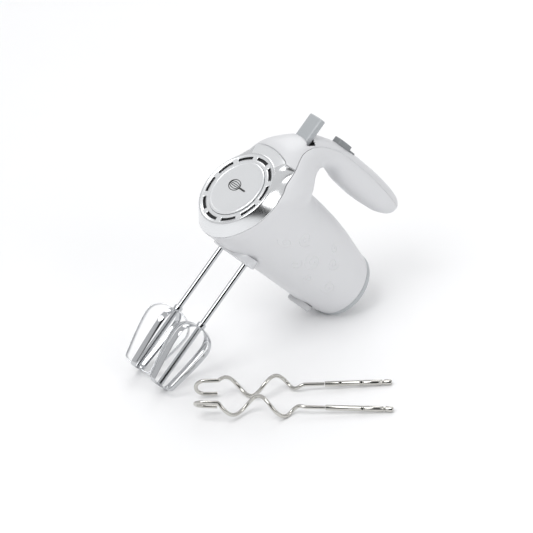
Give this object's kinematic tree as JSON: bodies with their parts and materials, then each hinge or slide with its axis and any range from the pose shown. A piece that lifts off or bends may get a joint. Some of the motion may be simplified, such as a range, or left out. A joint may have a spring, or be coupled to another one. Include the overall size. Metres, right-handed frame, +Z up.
{
  "type": "hand mixer",
  "caption": "Hand mixer at rest on its heel and wire beaters: barrel body, looped-back handle, round vented front, speed lever, with loose dough hooks.",
  "frame": {"origin": "middle of the whole set's footprint, on the floor", "axes": "+X forward from heel to beaters, +Y to the mixer's left, +Z up"},
  "size_m": [0.3063, 0.2437, 0.2133],
  "materials": {
    "white_shell": "fine satin moulded",
    "grey_shell": "satin moulded",
    "silver_rim": "satin silver lacquer",
    "satin_badge": "satin, fine spun",
    "vent_dark": "moulded",
    "cap_grey": "moulded",
    "clear_plate": "milky translucent",
    "foot_grey": "moulded",
    "lever_grey": "moulded",
    "button_grey": "moulded",
    "chrome": "polished",
    "cast_frame": "as cast",
    "bronze": "machined",
    "laminations": "stacked sheet",
    "copper_wire": "enamelled wire",
    "carbon": "pressed",
    "steel": "ground",
    "nylon": "moulded",
    "black_plastic": "moulded"
  },
  "bodies": {
    "housing": {"main_housing": "white_shell", "top_shell": "grey_shell", "front_bezel": "silver_rim", "badge_disc": "satin_badge", "vent_backing": "vent_dark", "rear_cap": "cap_grey", "beater_plate": "clear_plate", "rest_foot": "foot_grey", "cord_gland": "black_plastic", "gear_frame": "cast_frame", "spindle_bushes": "bronze", "motor_bracket": "cast_frame", "stator": "laminations", "field_coils": "copper_wire", "shaft_bushes": "bronze", "brush_holders": "bronze", "carbon_brushes": "carbon", "frame_bolts": "steel", "speed_switch": "black_plastic", "turbo_switch": "black_plastic", "case_screws": "steel", "ejector_spring": "steel", "turbo_spring": "steel"},
    "armature": {"motor_shaft": "steel", "armature_core": "laminations", "commutator": "copper_wire", "cooling_fan": "nylon"},
    "left_spindle": {"left_spindle": "steel", "left_worm_wheel": "nylon"},
    "right_spindle": {"right_spindle": "steel", "right_worm_wheel": "nylon"},
    "ejector": {"ejector_yoke": "nylon"},
    "speed_lever": {"speed_lever": "lever_grey"},
    "left_pin": {"left_ejector_pin": "steel"},
    "right_pin": {"right_ejector_pin": "steel"},
    "left_beater": {"left_beater_shaft": "chrome", "left_beater_wires": "chrome"},
    "right_beater": {"right_beater_shaft": "chrome", "right_beater_wires": "chrome"},
    "turbo_button": {"turbo_button": "button_grey"},
    "first_hook": {"first_hook_shank": "chrome", "first_hook_wire": "chrome"},
    "second_hook": {"second_hook_shank": "chrome", "second_hook_wire": "chrome"}
  },
  "joints": [
    {"name": "armature_spin", "type": "hinge", "parent": "housing", "child": "armature", "pos_m": [-0.00019, -0.0748, 0.13148], "axis": [0.6414, 0, 0.7672], "continuous": true},
    {"name": "left_spindle_spin", "type": "hinge", "parent": "housing", "child": "left_spindle", "pos_m": [0.0351, -0.0535, 0.10198], "axis": [-0.7672, 0, 0.6414], "continuous": true},
    {"name": "right_spindle_spin", "type": "hinge", "parent": "housing", "child": "right_spindle", "pos_m": [0.0351, -0.0961, 0.10198], "axis": [-0.7672, 0, 0.6414], "continuous": true},
    {"name": "eject_press", "type": "slide", "parent": "housing", "child": "ejector", "axis": [0.7672, 0, -0.6414], "range_m": [0, 0.007], "stiffness_N_per_m": 500, "springref_m": -0.004, "deforming": ["ejector_spring"]},
    {"name": "speed_select", "type": "slide", "parent": "ejector", "child": "speed_lever", "axis": [0, 1, 0], "range_m": [-0.006, 0.006]},
    {"name": "left_pin_push", "type": "slide", "parent": "left_spindle", "child": "left_pin", "axis": [0.7672, 0, -0.6414], "range_m": [0, 0.007]},
    {"name": "right_pin_push", "type": "slide", "parent": "right_spindle", "child": "right_pin", "axis": [0.7672, 0, -0.6414], "range_m": [0, 0.007]},
    {"name": "left_beater_pull", "type": "slide", "parent": "left_pin", "child": "left_beater", "axis": [0.7672, 0, -0.6414], "range_m": [0, 0.045]},
    {"name": "right_beater_pull", "type": "slide", "parent": "right_pin", "child": "right_beater", "axis": [0.7672, 0, -0.6414], "range_m": [0, 0.045]},
    {"name": "turbo_press", "type": "slide", "parent": "housing", "child": "turbo_button", "axis": [0.7672, 0, -0.6414], "range_m": [0, 0.002], "stiffness_N_per_m": 400, "springref_m": -0.002, "deforming": ["turbo_spring"]},
    {"name": "first_hook_lift", "type": "slide", "parent": "housing", "child": "first_hook", "axis": [0, 0, 1], "range_m": [0, 0.12]},
    {"name": "second_hook_lift", "type": "slide", "parent": "housing", "child": "second_hook", "axis": [0, 0, 1], "range_m": [0, 0.12]}
  ],
  "couplings": [
    {"joint": "left_spindle_spin", "follows": "armature_spin", "ratio": 0.027778},
    {"joint": "right_spindle_spin", "follows": "armature_spin", "ratio": -0.027778},
    {"joint": "left_pin_push", "follows": "eject_press", "ratio": 1},
    {"joint": "right_pin_push", "follows": "eject_press", "ratio": 1}
  ]
}
